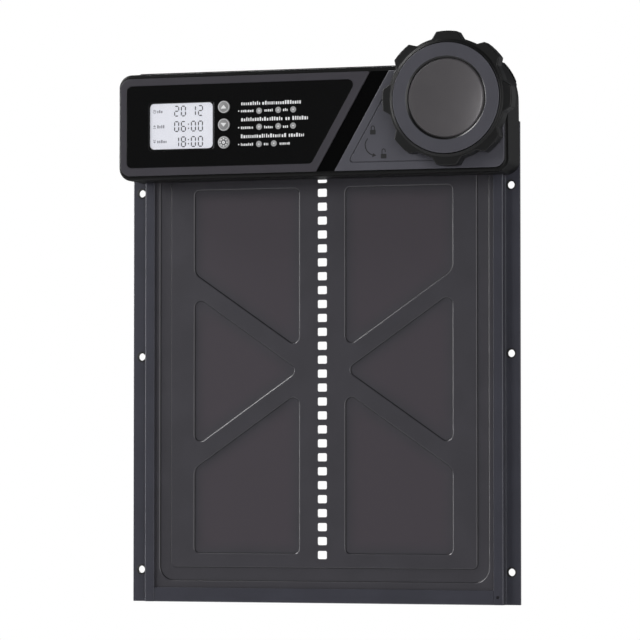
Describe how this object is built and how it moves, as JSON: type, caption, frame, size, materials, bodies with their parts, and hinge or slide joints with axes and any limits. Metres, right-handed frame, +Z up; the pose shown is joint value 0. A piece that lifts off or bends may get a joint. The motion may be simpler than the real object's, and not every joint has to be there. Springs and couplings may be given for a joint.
{
  "type": "automatic coop door",
  "caption": "Wall-mounted poultry coop door: a pressed sheet panel rises in side rails, driven by a sprocket in a battery-powered control housing.",
  "frame": {"origin": "centre of the four corner fixing holes, on the wall plane", "axes": "+X to the right seen from the front, +Z up, -Y out of the wall towards the front"},
  "size_m": [0.2999, 0.0495, 0.4033],
  "materials": {
    "rail": "dark grey satin powder coat",
    "door": "dark grey fine satin powder coat",
    "shell": "black moulded plastic",
    "fascia": "dark grey satin plastic",
    "gloss_label": "glossy black overlay",
    "clear_window": "clear window",
    "lcd": "pale liquid crystal display",
    "diffuser": "white diffuser",
    "button": "silver grey buttons",
    "cap": "black moulded plastic grip",
    "cap_face": "dark grey satin cap face",
    "seal": "silicone seal",
    "gasket": "black foam rubber gasket",
    "board": "green circuit board",
    "black_part": "black plastic",
    "cell": "printed cell sleeve",
    "nylon": "natural nylon gears",
    "steel": "zinc plated steel",
    "bronze": "sintered bronze",
    "copper": "wound rotor",
    "magnet": "ferrite",
    "red_wire": "insulated battery leads",
    "black_wire": "insulated motor leads",
    "chassis": "black glass-filled plastic",
    "gear_frame": "grey acetal side plates"
  },
  "bodies": {
    "frame": {"left_rail": "rail", "right_rail": "rail", "sill": "rail", "sill_rivets": "steel", "front_housing": "shell", "back_plate": "shell", "chassis_plate": "chassis", "housing_gasket": "gasket", "left_fascia": "fascia", "right_fascia": "fascia", "control_label": "gloss_label", "lcd_window": "clear_window", "lcd_display": "lcd", "lcd_backlight": "diffuser", "switch_bodies": "black_part", "circuit_board": "board", "board_components": "black_part", "battery_holder": "black_part", "battery_cells": "cell", "battery_contacts": "steel", "battery_wires": "red_wire", "motor_can": "steel", "motor_endcap": "black_part", "motor_magnets": "magnet", "motor_wires": "black_wire", "idler_shaft": "steel", "sprocket_bushes": "bronze", "gearbox_plate_left": "gear_frame", "gearbox_plate_right": "gear_frame", "gearbox_posts": "steel", "housing_screws": "steel", "chassis_screws": "steel", "board_screws": "steel", "gearbox_screws": "steel", "motor_screws": "steel"},
    "door": {"door_panel": "door"},
    "sprocket": {"drive_sprocket": "nylon", "sprocket_shaft": "steel"},
    "gear_three": {"third_gear": "nylon"},
    "gear_two": {"second_gear": "nylon"},
    "gear_one": {"first_gear": "nylon"},
    "rotor": {"motor_rotor": "copper", "motor_pinion": "nylon"},
    "up_key": {"button_up": "button", "switch_plunger_up": "black_part"},
    "down_key": {"button_down": "button", "switch_plunger_down": "black_part"},
    "set_key": {"button_set": "button", "switch_plunger_set": "black_part"},
    "seal": {"cap_seal": "seal"},
    "cap": {"battery_cap": "cap", "cap_ring": "cap_face", "cap_dish": "cap_face"}
  },
  "joints": [
    {"name": "door_lift", "type": "slide", "parent": "frame", "child": "door", "axis": [0, 0, 1], "range_m": [0, 0.29]},
    {"name": "sprocket_turn", "type": "hinge", "parent": "frame", "child": "sprocket", "pos_m": [0, -0.01614, 0.1843], "axis": [1, 0, 0], "range_deg": [-5, 1496.4]},
    {"name": "third_gear_turn", "type": "hinge", "parent": "frame", "child": "gear_three", "pos_m": [0, -0.02, 0.17289], "axis": [1, 0, 0], "range_deg": [-4479.3, 5]},
    {"name": "second_gear_turn", "type": "hinge", "parent": "frame", "child": "gear_two", "pos_m": [0, -0.01614, 0.1843], "axis": [1, 0, 0], "range_deg": [-5, 13427.9]},
    {"name": "first_gear_turn", "type": "hinge", "parent": "frame", "child": "gear_one", "pos_m": [0, -0.02, 0.17289], "axis": [1, 0, 0], "range_deg": [-40273.6, 5]},
    {"name": "motor_turn", "type": "hinge", "parent": "frame", "child": "rotor", "pos_m": [0, -0.0203, 0.16084], "axis": [1, 0, 0], "range_deg": [-5, 120810.7]},
    {"name": "up_press", "type": "slide", "parent": "frame", "child": "up_key", "axis": [0, 1, 0], "range_m": [0, 0.0005], "stiffness_N_per_m": 1200, "springref_m": -0.0002},
    {"name": "down_press", "type": "slide", "parent": "frame", "child": "down_key", "axis": [0, 1, 0], "range_m": [0, 0.0005], "stiffness_N_per_m": 1200, "springref_m": -0.0002},
    {"name": "set_press", "type": "slide", "parent": "frame", "child": "set_key", "axis": [0, 1, 0], "range_m": [0, 0.0005], "stiffness_N_per_m": 1200, "springref_m": -0.0002},
    {"name": "cap_lift", "type": "slide", "parent": "frame", "child": "seal", "axis": [0, -1, 0], "range_m": [0, 0.0015]},
    {"name": "cap_twist", "type": "hinge", "parent": "seal", "child": "cap", "pos_m": [0.106, -0.036, 0.1958], "axis": [0, -1, 0], "range_deg": [0, 45]}
  ],
  "couplings": [
    {"joint": "sprocket_turn", "follows": "door_lift", "rad_per_m": 89.76},
    {"joint": "third_gear_turn", "follows": "door_lift", "rad_per_m": -269.28},
    {"joint": "second_gear_turn", "follows": "door_lift", "rad_per_m": 807.84},
    {"joint": "first_gear_turn", "follows": "door_lift", "rad_per_m": -2423.5},
    {"joint": "motor_turn", "follows": "door_lift", "rad_per_m": 7270.5},
    {"joint": "cap_lift", "follows": "cap_twist", "m_per_rad": 0.0019099}
  ]
}
